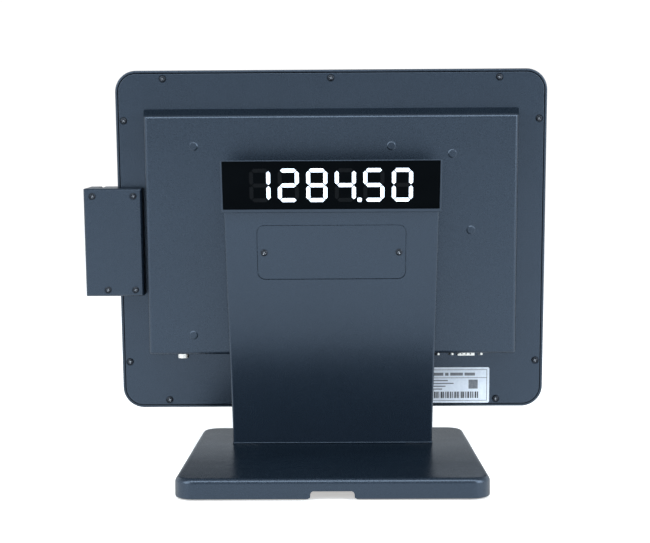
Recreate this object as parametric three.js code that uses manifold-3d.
// A countertop point-of-sale touchscreen terminal, in millimetres, +Z up.
// The operator stands at -Y and reads the touchscreen; the customer stands at +Y and reads the small display
// on top of the stand. The origin is on the counter, under the centre of the base.
//
// Three frames are used. The base is drawn in the terminal's own axes.
// The column is drawn in a frame that leans back: Y = 0 is its rear face and Z = 0 its foot on the base.
// The head is drawn in a frame that tilts: Y = 0 is its rear cover's face and Z = 0 its bottom edge.

import * as THREE from "three";
import { mergeVertices } from "three/addons/utils/BufferGeometryUtils.js";
import Module from "manifold-3d";

const wasm = await Module();
wasm.setup();

// ---------------------------------------------------------------- driving dimensions

const headWidth = 366;
const headHeight = 291.5;
const headDepth = 24;
const headCorner = 18;
const headTilt = THREE.MathUtils.degToRad(5);

const baseWidth = 234.7;
const baseDepth = 220;
const baseTop = 16.3;
const baseCorner = 15;

const columnWidth = 168.4;
const columnSpread = 1.8;
const columnDepth = 14.5;
const columnLength = 201.2;
const columnFootY = -29;
const columnLean = THREE.MathUtils.degToRad(15);

const pivotY = -11;
const pivotZ = 184;
const pivotFromCover = 40;
const pivotFromBottom = 146;

const gap = 0.3;
const sheet = 2;

// ---------------------------------------------------------------- materials

const finish = (color, roughness, metalness) => new THREE.MeshStandardMaterial({ color, roughness, metalness });
const coated = finish(0x3a424d, 0.5, 0.1);
const plastic = finish(0x30363f, 0.55, 0);
const blackGloss = finish(0x050607, 0.08, 0);
const steel = finish(0x9aa0a6, 0.35, 1);
const darkSteel = finish(0x1c1f23, 0.4, 0.8);
const aluminium = finish(0xb5b9bd, 0.4, 1);
const circuitBoard = finish(0x16482c, 0.5, 0);
const rubber = finish(0x111213, 0.9, 0);
const paper = finish(0xe9ecf0, 0.6, 0);

// ---------------------------------------------------------------- solids

function solidFrom(geometry) {
  const bare = geometry.index ? geometry.toNonIndexed() : geometry.clone();
  bare.deleteAttribute("normal");
  bare.deleteAttribute("uv");
  const merged = mergeVertices(bare, 1e-4);
  return new wasm.Manifold(
    new wasm.Mesh({
      numProp: 3,
      vertProperties: merged.attributes.position.array,
      triVerts: new Uint32Array(merged.index.array),
    }),
  );
}

function geometryFrom(solid) {
  const mesh = solid.getMesh();
  return new THREE.BufferGeometry()
    .setAttribute("position", new THREE.BufferAttribute(mesh.vertProperties, 3))
    .setIndex(new THREE.BufferAttribute(mesh.triVerts, 1));
}

const cut = (body, ...tools) =>
  geometryFrom(tools.reduce((left, tool) => left.subtract(solidFrom(tool)), solidFrom(body)));

const join = (...pieces) =>
  geometryFrom(pieces.map(solidFrom).reduce((whole, piece) => whole.add(piece)));

function block(x0, x1, y0, y1, z0, z1) {
  return new THREE.BoxGeometry(x1 - x0, y1 - y0, z1 - z0).translate((x0 + x1) / 2, (y0 + y1) / 2, (z0 + z1) / 2);
}

function roundedRectangle(left, right, bottom, top, radius) {
  const outline = new THREE.Shape();
  outline.absarc(right - radius, bottom + radius, radius, -Math.PI / 2, 0);
  outline.absarc(right - radius, top - radius, radius, 0, Math.PI / 2);
  outline.absarc(left + radius, top - radius, radius, Math.PI / 2, Math.PI);
  outline.absarc(left + radius, bottom + radius, radius, Math.PI, 1.5 * Math.PI);
  return outline;
}

const ARC_STEPS = 3;
const extrude = (outline, depth, steps = ARC_STEPS) =>
  new THREE.ExtrudeGeometry(outline, { depth, bevelEnabled: false, curveSegments: steps });

// An outline in X and Y, raised from one height to another.
const slabUp = (outline, low, high, steps) => extrude(outline, high - low, steps).translate(0, 0, low);

// An outline in X and Z, spread along Y from one depth to another.
const slabBack = (outline, near, far, steps) =>
  extrude(outline, far - near, steps).rotateX(Math.PI / 2).translate(0, far, 0);

// An outline in Y and Z, spread along X from one side to another.
function slabAcross(outline, left, right, steps) {
  const turned = new THREE.Matrix4().makeBasis(
    new THREE.Vector3(0, 1, 0),
    new THREE.Vector3(0, 0, 1),
    new THREE.Vector3(1, 0, 0),
  );
  return extrude(outline, right - left, steps).applyMatrix4(turned).translate(left, 0, 0);
}

function rodAlongX(radius, left, right, y, z, sides = 20) {
  return new THREE.CylinderGeometry(radius, radius, right - left, sides)
    .rotateZ(Math.PI / 2)
    .translate((left + right) / 2, y, z);
}

function rodAlongY(radius, near, far, x, z, sides = 14) {
  return new THREE.CylinderGeometry(radius, radius, far - near, sides).translate(x, (near + far) / 2, z);
}

function rodAlongZ(radius, low, high, x, y, sides = 14) {
  return new THREE.CylinderGeometry(radius, radius, high - low, sides)
    .rotateX(Math.PI / 2)
    .translate(x, y, (low + high) / 2);
}

// A pan-head screw whose head stands on Y = 0 and whose shank runs towards -Y.
const screwHead = { radius: 2.75, height: 1.3 };
function screw(shankRadius, shankLength, head = screwHead) {
  const profile = [
    new THREE.Vector2(0, -shankLength),
    new THREE.Vector2(shankRadius, -shankLength),
    new THREE.Vector2(shankRadius, 0),
    new THREE.Vector2(head.radius, 0),
    new THREE.Vector2(head.radius, head.height * 0.6),
    new THREE.Vector2(head.radius * 0.8, head.height),
    new THREE.Vector2(0, head.height),
  ];
  return new THREE.LatheGeometry(profile, 12);
}

function addMesh(group, name, geometry, material) {
  const mesh = new THREE.Mesh(geometry, material);
  mesh.name = name;
  group.add(mesh);
  return mesh;
}

// ---------------------------------------------------------------- base

const footHeight = 1.4;
const baseWall = 2.6;
const bottomPlateTop = 2.4;
const ballastLow = 2.7;
const ballastHigh = 8;
const flangeLow = 8.3;
const flangeHigh = 11.3;
const notchHalf = 16.35;
const notchHeight = 7.3;
const channelHalf = 16.5;
const channelFrontY = -45;
const footRadius = 8;
const footPlaces = [-95, 95].flatMap((x) => [-88, 88].map((y) => ({ x, y })));

function baseOutline(inset) {
  const halfWidth = baseWidth / 2 - inset;
  const halfDepth = baseDepth / 2 - inset;
  return roundedRectangle(-halfWidth, halfWidth, -halfDepth, halfDepth, baseCorner - inset);
}

// The notch that lets cables out of the base's rear wall: round at its top, and flared at its foot.
function notchOutline() {
  const round = 3;
  const outline = new THREE.Shape();
  outline.moveTo(-notchHalf - round, 0);
  outline.lineTo(notchHalf + round, 0);
  outline.lineTo(notchHalf + round, footHeight);
  outline.absarc(notchHalf + round, footHeight + round, round, -Math.PI / 2, -Math.PI, true);
  outline.absarc(notchHalf - round, notchHeight - round, round, 0, Math.PI / 2);
  outline.absarc(-notchHalf + round, notchHeight - round, round, Math.PI / 2, Math.PI);
  outline.absarc(-notchHalf - round, footHeight + round, round, 0, -Math.PI / 2, true);
  return outline;
}

// The base cover's top edge is broken by a chamfer, as a stand-in for its fillet.
function baseCover() {
  const chamfer = 3;
  const lower = slabUp(baseOutline(0), footHeight - 0.3, baseTop - chamfer);
  const upper = slabUp(baseOutline(0), baseTop - chamfer, baseTop);
  taper(upper, baseTop, 1 - (2 * chamfer) / baseWidth, 1 - (2 * chamfer) / baseDepth);
  const cavity = slabUp(baseOutline(baseWall), 0, baseTop - baseWall);
  const notch = slabBack(notchOutline(), baseDepth / 2 - 2 * baseWall, baseDepth / 2 + 1);
  const tongueSlot = block(-68, 68, -47, -31, baseTop - 2 * baseWall, baseTop + 1);
  return cut(join(lower, upper), cavity, notch, tongueSlot);
}

// Draws in the vertices of one end of an upright slab, which makes it a frustum.
function taper(slab, endZ, scaleX, scaleY) {
  const places = slab.attributes.position;
  for (let i = 0; i < places.count; i++) {
    if (Math.abs(places.getZ(i) - endZ) < 1e-3) {
      places.setX(i, places.getX(i) * scaleX);
      places.setY(i, places.getY(i) * scaleY);
    }
  }
}

// The feet pass through the bottom plate and stand against the ballast.
function bottomPlate() {
  const plate = slabUp(baseOutline(baseWall + gap), footHeight, bottomPlateTop);
  const cableNotch = block(-channelHalf, channelHalf, 85, baseDepth, 0, baseTop);
  const footHoles = footPlaces.map(({ x, y }) => rodAlongZ(footRadius + 0.5, 0, baseTop, x, y, 20));
  return cut(plate, cableNotch, ...footHoles);
}

function ballastPlate() {
  const plate = slabUp(baseOutline(baseWall + 1), ballastLow, ballastHigh);
  const channel = block(-channelHalf, channelHalf, channelFrontY, baseDepth, 0, baseTop);
  return cut(plate, channel);
}

function addBase(terminal) {
  addMesh(terminal, "base_cover", baseCover(), coated);
  addMesh(terminal, "base_bottom_plate", bottomPlate(), darkSteel);
  addMesh(terminal, "base_ballast_plate", ballastPlate(), steel);
  footPlaces.forEach(({ x, y }, i) => {
    const foot = rodAlongZ(footRadius, 0, ballastLow - gap, x, y, 20);
    addMesh(terminal, `rubber_foot_${i + 1}`, foot, rubber);
  });
}

// ---------------------------------------------------------------- column

const rearFace = 3;
const serviceCover = { halfWidth: 59.7, low: 146.7, high: 191.7, corner: 6, thickness: 1.3 };
const serviceScrewX = 54.3;
const serviceMiddle = (serviceCover.low + serviceCover.high) / 2;
const bracketFlange = { half: 75, near: -70, far: 0, cable: { half: 15, near: -60, far: -46 } };
const tongue = { half: 62, near: -9, far: -6.5, low: -12, high: 55 };
const displayBracket = { half: 40, near: -11.8, far: -10.2, low: 150, high: 238 };
const lowerEdgeSlope = Math.tan(columnLean);

// The column's side view, cut level where it stands on the base.
function columnSide(near, far, low, high) {
  const outline = new THREE.Shape();
  outline.moveTo(near, low + near * lowerEdgeSlope);
  outline.lineTo(far, low + far * lowerEdgeSlope);
  outline.lineTo(far, high);
  outline.lineTo(near, high);
  return outline;
}

// Moves both sides of a column piece out with height, because the column is wider at its top.
function spreadUpwards(piece) {
  const places = piece.attributes.position;
  for (let i = 0; i < places.count; i++) {
    const x = places.getX(i);
    places.setX(i, x + (Math.sign(x) * columnSpread * places.getZ(i)) / columnLength);
  }
  return piece;
}

function serviceOutline(inset) {
  const { halfWidth, low, high, corner } = serviceCover;
  return roundedRectangle(-halfWidth + inset, halfWidth - inset, low + inset, high - inset, corner - inset);
}

function columnShell() {
  const half = columnWidth / 2;
  const body = spreadUpwards(slabAcross(columnSide(-columnDepth, 0, gap, columnLength), -half, half));
  const insideOutline = columnSide(-columnDepth - 1, -rearFace, gap - 5, columnLength - sheet);
  const inside = spreadUpwards(slabAcross(insideOutline, -half + sheet, half - sheet));
  const pocket = slabBack(serviceOutline(-0.35), -serviceCover.thickness - gap, 1);
  const openingHalf = serviceScrewX - 4.5;
  const opening = block(-openingHalf, openingHalf, -rearFace - 1, 0, serviceCover.low + 5, serviceCover.high - 5);
  const screwHoles = [-1, 1].map((side) => rodAlongY(1.7, -rearFace - 1, 1, side * serviceScrewX, serviceMiddle));
  const topSlot = block(-displayBracket.half - 1, displayBracket.half + 1, -13, -9, columnLength - 5, columnLength + 1);
  return cut(body, inside, pocket, opening, topSlot, ...screwHoles);
}

function columnFrontCover() {
  const half = columnWidth / 2 - sheet - gap;
  const thickness = 1.4;
  const outline = columnSide(-columnDepth, -columnDepth + thickness, 0.8, columnLength - sheet - gap);
  return spreadUpwards(slabAcross(outline, -half, half));
}

// The bracket under the base's cover that holds the column up: a flange and a leaning tongue.
function footBracket() {
  const { half, near, far, cable } = bracketFlange;
  const flange = block(-half, half, near, far, flangeLow, flangeHigh);
  const upright = block(-tongue.half, tongue.half, tongue.near, tongue.far, tongue.low, tongue.high)
    .rotateX(-columnLean)
    .translate(0, columnFootY, baseTop);
  const below = block(-half, half, near, far, tongue.low, flangeLow);
  const cableHole = block(-cable.half, cable.half, cable.near, cable.far, 0, baseTop);
  return cut(join(flange, upright), below, cableHole);
}

const display = { half: 87.4, low: 203.4, high: 246, near: -14.5, far: 4, wall: 1.8 };
const displayWindow = { half: 86, low: 206.1, high: 245.3, thickness: 2.2, recess: 0.2 };
const displayPanel = { half: 76, low: 209.5, high: 242, near: -6.7, far: 1.2 };

// The display in side view. Its top is level, so in the leaning frame it slopes down towards the front.
function displaySide(near, far, low, high) {
  const topAt = (y) => high - (display.far - y) * lowerEdgeSlope;
  const outline = new THREE.Shape();
  outline.moveTo(near, low);
  outline.lineTo(far, low);
  outline.lineTo(far, topAt(far));
  outline.lineTo(near, topAt(near));
  return outline;
}

function displayHousing() {
  const { half, low, high, near, far, wall } = display;
  const body = slabAcross(displaySide(near, far, low, high), -half, half);
  const { half: windowHalf, low: windowLow, high: windowHigh } = displayWindow;
  const cavity = slabAcross(displaySide(near + wall, far + 1, windowLow, windowHigh), -windowHalf, windowHalf);
  const slotHalf = displayBracket.half + 1;
  const slot = block(-slotHalf, slotHalf, near + wall, displayBracket.far + 1, low - 1, windowLow + 1);
  return cut(body, cavity, slot);
}

function displayPane() {
  const { half, low, high, thickness, recess } = displayWindow;
  const far = display.far - recess;
  return slabAcross(displaySide(far - thickness, far, low + gap, high - gap), -half + gap, half - gap);
}

function serviceCoverPlate() {
  const plate = slabBack(serviceOutline(0), -serviceCover.thickness - 0.05, -0.05);
  const screwSeats = [-1, 1].map((side) => rodAlongY(1.7, -5, 1, side * serviceScrewX, serviceMiddle));
  return cut(plate, ...screwSeats);
}

function addColumn(terminal) {
  const column = new THREE.Group();
  column.position.set(0, columnFootY, baseTop);
  column.rotation.x = -columnLean;
  terminal.add(column);

  addMesh(column, "column_shell", columnShell(), coated);
  addMesh(column, "column_front_cover", columnFrontCover(), coated);
  addMesh(terminal, "column_foot_bracket", footBracket(), steel);
  addMesh(column, "service_cover", serviceCoverPlate(), coated);
  [-1, 1].forEach((side) => {
    const name = side < 0 ? "service_screw_left" : "service_screw_right";
    addMesh(column, name, screw(1.3, 7, { radius: 2.75, height: 0.9 }), darkSteel)
      .position.set(side * serviceScrewX, gap - 0.05, serviceMiddle);
  });

  const { half, near, far, low, high } = displayBracket;
  addMesh(column, "display_bracket", block(-half, half, near, far, low, high), steel);
  addMesh(column, "display_housing", displayHousing(), plastic);
  const panel = displayPanel;
  const panelBlock = block(-panel.half, panel.half, panel.near, panel.far, panel.low, panel.high);
  addMesh(column, "display_panel", panelBlock, blackGloss);
  addMesh(column, "display_window", displayPane(), blackGloss);
  return column;
}

// ---------------------------------------------------------------- tilt hinge

const ear = { radius: 9, hole: 4.2, standNear: 50, headNear: 55, thickness: 3 };
const standPlate = { half: 53, thickness: 2.5, low: -25, high: 25 };
const headPlate = { half: 60, thickness: 2.5, low: -45, high: 45 };

// One hinge ear in side view: a tab from a plate's face to a round end about the pivot.
function earOutline(plateY, pivotAtY, pivotAtZ) {
  const side = Math.sign(pivotAtY - plateY);
  const outline = new THREE.Shape();
  outline.moveTo(plateY, pivotAtZ - ear.radius);
  outline.lineTo(pivotAtY, pivotAtZ - ear.radius);
  outline.absarc(pivotAtY, pivotAtZ, ear.radius, -Math.PI / 2, Math.PI / 2, side < 0);
  outline.lineTo(plateY, pivotAtZ + ear.radius);
  return outline;
}

function hingeBracket(plate, ears, pivotAtY, pivotAtZ, screwHoles) {
  const bores = ears.map(([left, right]) => rodAlongX(ear.hole, left - 1, right + 1, pivotAtY, pivotAtZ));
  const tabs = ears.map(([left, right]) => slabAcross(earOutline(plate.face, pivotAtY, pivotAtZ), left, right, 5));
  return cut(join(plate.slab, ...tabs), ...bores, ...screwHoles);
}

const bothSides = (near, thickness) => [
  [-near - thickness, -near],
  [near, near + thickness],
];

// The pivot's place in the column's frame.
function pivotOnColumn() {
  const y = pivotY - columnFootY;
  const z = pivotZ - baseTop;
  return {
    y: y * Math.cos(columnLean) - z * Math.sin(columnLean),
    z: y * Math.sin(columnLean) + z * Math.cos(columnLean),
  };
}

function standHingeBracket() {
  const { y, z } = pivotOnColumn();
  const rear = -columnDepth - gap;
  const face = rear - standPlate.thickness;
  const slab = block(-standPlate.half, standPlate.half, face, rear, z + standPlate.low, z + standPlate.high);
  const screwHoles = [-30, 30].flatMap((x) => [-18, 18].map((up) => rodAlongY(2.2, face - 1, rear + 1, x, z + up)));
  return hingeBracket({ slab, face: (face + rear) / 2 }, bothSides(ear.standNear, ear.thickness), y, z, screwHoles);
}

function headHingeBracket() {
  const face = boxFace + gap;
  const slab = block(
    -headPlate.half,
    headPlate.half,
    face,
    face + headPlate.thickness,
    pivotFromBottom + headPlate.low,
    pivotFromBottom + headPlate.high,
  );
  const spacing = 37.5;
  const screwHoles = [-spacing, spacing].flatMap((x) =>
    [-spacing, spacing].map((up) => rodAlongY(2.2, face - 1, face + headPlate.thickness + 1, x, pivotFromBottom + up)),
  );
  const plate = { slab, face: face + headPlate.thickness / 2 };
  return hingeBracket(plate, bothSides(ear.headNear, ear.thickness), pivotFromCover, pivotFromBottom, screwHoles);
}

// A pin along X through one pair of ears, with a hexagonal head outside them and a peened end inside.
function hingePin() {
  const radius = ear.hole - 0.4;
  const outside = ear.headNear + ear.thickness + gap;
  const inside = ear.standNear - gap;
  return join(
    rodAlongX(radius, inside - 1, outside + 1, 0, 0),
    rodAlongX(7, outside, outside + 3, 0, 0, 6),
    rodAlongX(6, inside - 2, inside, 0, 0),
  );
}

function addHinge(terminal, column) {
  addMesh(column, "stand_hinge_bracket", standHingeBracket(), steel);
  ["right", "left"].forEach((label, i) => {
    const pin = addMesh(terminal, `hinge_pin_${label}`, hingePin(), darkSteel);
    pin.position.set(0, pivotY, pivotZ);
    pin.rotation.z = i * Math.PI;
  });
}

// ---------------------------------------------------------------- head

const rim = 2;
const glassInset = 5;
const glassThickness = 3;
const ledgeInset = 12;
const ledgeNear = -headDepth + glassThickness + gap;
const ledgeFar = ledgeNear + 2;
const coverThickness = 2;
const coverInset = 2.4;
const boss = { radius: 3.4, pilot: 1.7, far: -coverThickness - gap };
const coverScrews = [
  ...[-142.3, 0, 142.3].flatMap((x) => [7, 284.5].map((z) => ({ x, z }))),
  ...[-176.2, 176.2].flatMap((x) => [41, 249.5].map((z) => ({ x, z }))),
];

const boxFace = 25;
const box = { foot: { half: 159, low: 50.3, high: 259 }, face: { half: 155, low: 52.4, high: 253.3 }, corner: 1.5 };
const ioPlate = { half: 145, near: 2.6, far: 22.4, low: 56.6, high: 57.8 };
const boardRear = 4.8;

const powerButton = { x: 110, y: -12, halfX: 6, halfY: 3 };

function headOutline(inset) {
  const half = headWidth / 2 - inset;
  return roundedRectangle(-half, half, inset, headHeight - inset, headCorner - inset);
}

function frontBezel() {
  const body = slabBack(headOutline(0), -headDepth, -0.8, 4);
  const glassPocket = slabBack(headOutline(glassInset), -headDepth - 1, ledgeNear, 4);
  const window = slabBack(headOutline(ledgeInset), ledgeNear - 1, ledgeFar + 1);
  const cavity = slabBack(headOutline(rim), ledgeFar, 1, 4);
  const { x, y, halfX, halfY } = powerButton;
  const buttonHole = block(x - halfX - 0.4, x + halfX + 0.4, y - halfY - 0.4, y + halfY + 0.4, -1, rim + 1);
  const posts = coverScrews.map((at) => rodAlongY(boss.radius, ledgeFar - 1, boss.far, at.x, at.z, 12));
  const pilots = coverScrews.map((at) => rodAlongY(boss.pilot, -11, 1, at.x, at.z, 10));
  const frame = cut(body, glassPocket, window, cavity, buttonHole);
  return cut(join(frame, ...posts), ...pilots);
}

// The frustum between the raised box's foot and its face, both drawn in by an inset.
function boxFrustum(inset, near, far) {
  const { foot, face, corner } = box;
  const radius = Math.max(corner - inset, 0.5);
  const outline = roundedRectangle(-foot.half + inset, foot.half - inset, foot.low + inset, foot.high - inset, radius);
  const slab = slabBack(outline, near, far);
  const scaleX = (face.half - inset) / (foot.half - inset);
  const scaleZ = (face.high - face.low - 2 * inset) / (foot.high - foot.low - 2 * inset);
  const footMiddle = (foot.low + foot.high) / 2;
  const faceMiddle = (face.low + face.high) / 2;
  const places = slab.attributes.position;
  for (let i = 0; i < places.count; i++) {
    if (places.getY(i) > (near + far) / 2) {
      places.setX(i, places.getX(i) * scaleX);
      places.setZ(i, (places.getZ(i) - footMiddle) * scaleZ + faceMiddle);
    }
  }
  return slab;
}

function rearCover() {
  const plate = slabBack(headOutline(coverInset), -coverThickness, 0, 4);
  const shell = join(plate, boxFrustum(0, -coverThickness, boxFace));
  const hollow = boxFrustum(sheet, -coverThickness - 1, boxFace - sheet);
  const { half, near, far } = ioPlate;
  const ioOpening = block(-half - gap, half + gap, near - gap, far + gap, box.foot.low - 1, ioPlate.high);
  const seats = coverScrews.map((at) => rodAlongY(3.2, -0.9, 1, at.x, at.z, 12));
  const holes = coverScrews.map((at) => rodAlongY(1.8, -5, 1, at.x, at.z, 10));
  return cut(shell, hollow, ioOpening, ...seats, ...holes);
}

// ---------------------------------------------------------------- sockets under the box

const socketMiddle = 12;
const serialPorts = { serial_port_a: 72, serial_port_b: -77.5 };
const videoPortX = -114.5;
const usbPorts = { usb_socket_a: 12, usb_socket_b: -8 };
const usb = { half: 6.6, near: 5.2, far: 20.8, high: 68, mouths: [8.9, 17.1] };
const networkSocket = { x: 38, halfWidth: 8, near: 5.2, far: 18.7 };
const drawerSocket = { x: 104, halfWidth: 6.6, near: 5.2, far: 17.2 };
const audioSocketX = -34;
const powerSocketX = 128;
const socketMouth = 53.5;
const shellMouth = 48.6;
const collarMouth = 47.4;
const socketTop = 66;
const collarRadius = { power: 4.9, audio: 3.4 };
const shell = { wide: 8.4, narrow: 7.2, halfDepth: 4.1, wall: 0.5, flangeHalf: 15.4, flangeDepth: 6.2, postSpacing: 12.5 };

// The D shape of a serial or video socket's metal shell, wider on the side towards the screen.
function shellOutline(x, inset = 0) {
  const wide = shell.wide - inset;
  const narrow = shell.narrow - inset;
  const half = shell.halfDepth - inset;
  const outline = new THREE.Shape();
  outline.moveTo(x - wide, socketMiddle - half);
  outline.lineTo(x + wide, socketMiddle - half);
  outline.lineTo(x + narrow, socketMiddle + half);
  outline.lineTo(x - narrow, socketMiddle + half);
  return outline;
}

function shellSocket(x) {
  const { flangeHalf, flangeDepth, postSpacing, wall } = shell;
  const flangeHigh = ioPlate.low - gap;
  const flangeLow = flangeHigh - 0.8;
  const around = (halfDepth, low, high) =>
    block(x - flangeHalf, x + flangeHalf, socketMiddle - halfDepth, socketMiddle + halfDepth, low, high);
  const flange = around(flangeDepth, flangeLow, flangeHigh);
  const outside = slabUp(shellOutline(x), shellMouth, flangeHigh);
  const skirt = cut(outside, slabUp(shellOutline(x, wall), shellMouth - 1, flangeLow));
  const insert = slabUp(shellOutline(x, 1.4), shellMouth + 1, flangeHigh);
  const posts = [-postSpacing, postSpacing].map((side) =>
    rodAlongZ(2.6, shellMouth, flangeHigh, x + side, socketMiddle, 6),
  );
  const neck = slabUp(shellOutline(x), flangeLow, ioPlate.high + 1);
  const body = around(flangeDepth - 0.6, ioPlate.high + gap, socketTop);
  return join(flange, skirt, insert, neck, body, ...posts);
}

function usbSocket(x) {
  const end = 63;
  const centred = (half, y, halfDepth, low, high) => block(x - half, x + half, y - halfDepth, y + halfDepth, low, high);
  const body = block(x - usb.half, x + usb.half, usb.near, usb.far, socketMouth, usb.high);
  const mouths = usb.mouths.map((y) => centred(usb.half - 0.5, y, 2.6, socketMouth - 1, end));
  const tongues = usb.mouths.map((y) => centred(usb.half - 1.2, y, 0.9, socketMouth + 1, end + 1));
  return join(cut(body, ...mouths), ...tongues);
}

// A modular jack: a block with one plain mouth and a latch slot beside it.
function modularSocket({ x, halfWidth, near, far }) {
  const middle = (near + far) / 2;
  const mouthHalf = halfWidth - 2.1;
  const latchHalf = 3;
  const end = 64;
  const body = block(x - halfWidth, x + halfWidth, near, far, socketMouth, end + 4);
  const mouth = block(x - mouthHalf, x + mouthHalf, middle - 3.6, middle + 3.6, socketMouth - 1, end);
  const latch = block(x - latchHalf, x + latchHalf, middle - 5, middle, socketMouth - 1, end);
  return cut(body, mouth, latch);
}

// A round locking power socket: a threaded collar round a recess with a centre pin.
function powerSocket() {
  const x = powerSocketX;
  const end = 62;
  const half = 7;
  const body = block(x - half, x + half, socketMiddle - half, socketMiddle + half, ioPlate.high + gap, socketTop);
  const collar = rodAlongZ(collarRadius.power, collarMouth, ioPlate.high + 2, x, socketMiddle, 20);
  const recess = rodAlongZ(3.6, collarMouth - 1, end, x, socketMiddle, 16);
  const pin = rodAlongZ(1, collarMouth + 1.5, end + 1, x, socketMiddle, 8);
  return join(cut(join(body, collar), recess), pin);
}

function audioSocket() {
  const x = audioSocketX;
  const body = block(x - 4, x + 4, socketMiddle - 6, socketMiddle + 6, ioPlate.high + gap, socketTop);
  const collar = rodAlongZ(collarRadius.audio, socketMouth - 0.6, ioPlate.high + 2, x, socketMiddle, 16);
  const bore = rodAlongZ(1.8, socketMouth - 2, socketTop - 2, x, socketMiddle, 12);
  return cut(join(body, collar), bore);
}

function socketPlate() {
  const { half, near, far, low, high } = ioPlate;
  const opening = (x, halfWidth, front, rear) =>
    block(x - halfWidth - 0.4, x + halfWidth + 0.4, front - 0.4, rear + 0.4, low - 1, high + 1);
  const shellOpening = (x) =>
    opening(x, shell.wide, socketMiddle - shell.halfDepth, socketMiddle + shell.halfDepth);
  const bore = (x, radius, sides) => rodAlongZ(radius + 0.4, low - 1, high + 1, x, socketMiddle, sides);
  const openings = [
    ...[...Object.values(serialPorts), videoPortX].map(shellOpening),
    ...Object.values(usbPorts).map((x) => opening(x, usb.half, usb.near, usb.far)),
    opening(networkSocket.x, networkSocket.halfWidth, networkSocket.near, networkSocket.far),
    opening(drawerSocket.x, drawerSocket.halfWidth, drawerSocket.near, drawerSocket.far),
    bore(powerSocketX, collarRadius.power, 20),
    bore(audioSocketX, collarRadius.audio, 16),
  ];
  return cut(block(-half, half, near, far, low, high), ...openings);
}

function addSockets(head) {
  Object.entries(serialPorts).forEach(([name, x]) => addMesh(head, name, shellSocket(x), steel));
  addMesh(head, "video_port", shellSocket(videoPortX), steel);
  Object.entries(usbPorts).forEach(([name, x]) => addMesh(head, name, usbSocket(x), steel));
  addMesh(head, "network_socket", modularSocket(networkSocket), steel);
  addMesh(head, "cash_drawer_socket", modularSocket(drawerSocket), plastic);
  addMesh(head, "audio_socket", audioSocket(), plastic);
  addMesh(head, "power_socket", powerSocket(), steel);
  addMesh(head, "socket_plate", socketPlate(), steel);
}

// ---------------------------------------------------------------- electronics inside the head

const lcd = { half: 163.2, low: 19, high: 272.5, rear: -10.7 };
const tray = { half: 171.5, low: 11.5, high: 280, near: -10.3, far: -9.3 };
const board = { half: 141, low: 58.4, high: 184, thickness: 1.6 };
const sink = { left: -52, right: 38, near: 7, far: 21.5, low: 92, high: 168, plinth: 3, finCount: 10, fin: 2 };
const memory = { left: 50, right: 117.6, near: 6.2, far: 10, low: 130, high: 160 };
const drive = { left: -135, right: -65, near: 6, far: 13, low: 96, high: 180 };

function heatSink() {
  const { left, right, near, far, low, high, plinth, finCount, fin } = sink;
  const pitch = (right - left - fin - 2) / (finCount - 1);
  const fins = Array.from({ length: finCount }, (_, i) => {
    const x = left + 1 + i * pitch;
    return block(x, x + fin, near + plinth - 1, far, low, high);
  });
  return join(block(left, right, near, near + plinth, low, high), ...fins);
}

const blockOf = ({ left, right, near, far, low, high }) => block(left, right, near, far, low, high);

function addElectronics(head) {
  const lcdOutline = roundedRectangle(-lcd.half, lcd.half, lcd.low, lcd.high, 2);
  const lcdSlab = slabBack(lcdOutline, -headDepth + glassThickness + 0.4, lcd.rear, 2);
  addMesh(head, "lcd_panel", lcdSlab, steel);
  const trayOutline = roundedRectangle(-tray.half, tray.half, tray.low, tray.high, 6);
  addMesh(head, "lcd_mounting_tray", slabBack(trayOutline, tray.near, tray.far, 2), steel);
  const boardBlock = block(-board.half, board.half, boardRear - board.thickness, boardRear, board.low, board.high);
  addMesh(head, "motherboard", boardBlock, circuitBoard);
  addMesh(head, "heat_sink", heatSink(), aluminium);
  addMesh(head, "memory_module", blockOf(memory), circuitBoard);
  addMesh(head, "solid_state_drive", blockOf(drive), darkSteel);
}

// ---------------------------------------------------------------- card reader on the head's side

const reader = { left: 160.5, right: 209.8, low: 100.9, high: 192.8, lidFar: 13.2, lidThickness: 1.6, front: -20 };
const cardSlot = { left: 196.8, right: 199 };
const readerScrews = [
  { x: 167.6, z: 186.4 },
  { x: 202.3, z: 186.4 },
  { x: 167.6, z: 106.3 },
  { x: 191, z: 106.3 },
];

function readerBody() {
  const { left, right, low, high, lidFar, lidThickness, front } = reader;
  const lidNear = lidFar - lidThickness - gap;
  const slab = block(left, right, gap, lidNear, low, high);
  const innerWall = block(headWidth / 2 + gap, cardSlot.left, front, gap + 1, low, high);
  const hollow = block(left + 2, right - 2, gap + 2, lidNear + 1, low + 12, high - 12);
  const headPocket = block(cardSlot.left - 9, cardSlot.left + 0.1, -13, -5, 141, 153);
  const holes = readerScrews.map((at) => rodAlongY(1.6, 4, lidNear + 1, at.x, at.z, 10));
  return cut(join(slab, innerWall), hollow, headPocket, ...holes);
}

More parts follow.
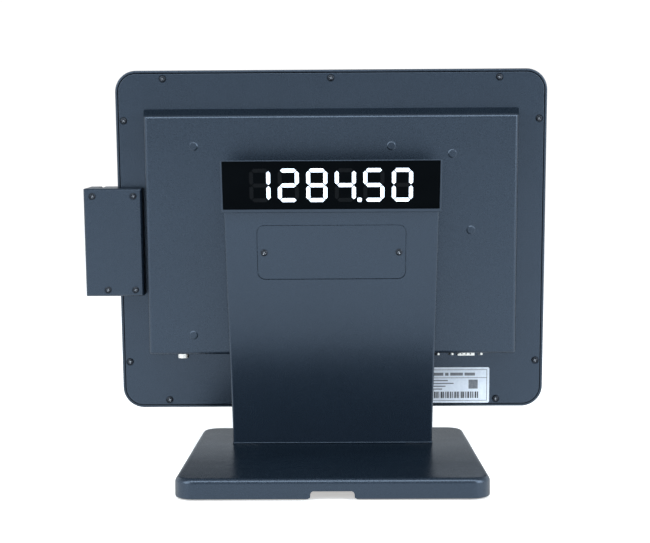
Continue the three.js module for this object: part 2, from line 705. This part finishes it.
function readerLid() {
  const { left, right, low, high, lidFar, lidThickness } = reader;
  const lid = slabBack(roundedRectangle(left, right, low, high, 1), lidFar - lidThickness, lidFar, 1);
  const seats = readerScrews.map((at) => rodAlongY(3.1, lidFar - 0.9, lidFar + 1, at.x, at.z, 12));
  const holes = readerScrews.map((at) => rodAlongY(1.7, 0, lidFar + 1, at.x, at.z, 10));
  return cut(lid, ...seats, ...holes);
}

function addReader(head) {
  const { right, low, high, lidFar, front } = reader;
  addMesh(head, "card_reader_body", readerBody(), plastic);
  addMesh(head, "card_reader_rail", block(cardSlot.right, right, front, 0, low, high), plastic);
  addMesh(head, "card_reader_lid", readerLid(), coated);
  addMesh(head, "magnetic_read_head", block(cardSlot.left - 7, cardSlot.left - 0.2, -12, -6, 142, 152), steel);
  readerScrews.forEach((at, i) => {
    addMesh(head, `card_reader_screw_${i + 1}`, screw(1.3, 7, { radius: 2.7, height: 1 }), darkSteel)
      .position.set(at.x, lidFar - 0.6, at.z);
  });
}

function addHead(terminal) {
  const tilting = new THREE.Group();
  tilting.position.set(0, pivotY, pivotZ);
  tilting.rotation.x = -headTilt;
  terminal.add(tilting);
  const head = new THREE.Group();
  head.position.set(0, -pivotFromCover, -pivotFromBottom);
  tilting.add(head);

  addMesh(head, "front_bezel", frontBezel(), plastic);
  const glass = slabBack(headOutline(glassInset + gap), -headDepth, -headDepth + glassThickness, 4);
  addMesh(head, "touch_glass", glass, blackGloss);
  addMesh(head, "rear_cover", rearCover(), coated);
  coverScrews.forEach((at, i) => {
    addMesh(head, `rear_cover_screw_${i + 1}`, screw(1.4, 8), darkSteel).position.set(at.x, -0.6, at.z);
  });
  addMesh(head, "rating_label", slabBack(roundedRectangle(-136.6, -76.6, 3.4, 35, 1.5), gap, 2 * gap, 1), paper);
  const { x, y, halfX, halfY } = powerButton;
  const cap = block(x - halfX, x + halfX, y - halfY, y + halfY, -0.7, 4);
  const flange = block(x - halfX - 1.5, x + halfX + 1.5, y - halfY - 1.5, y + halfY + 1.5, rim + gap, 4.2);
  addMesh(head, "power_button", join(cap, flange), plastic);
  addMesh(head, "head_hinge_bracket", headHingeBracket(), steel);
  addElectronics(head);
  addSockets(head);
  addReader(head);
}

// ---------------------------------------------------------------- the terminal

const terminal = new THREE.Group();
addBase(terminal);
const column = addColumn(terminal);
addHinge(terminal, column);
addHead(terminal);

export default terminal;
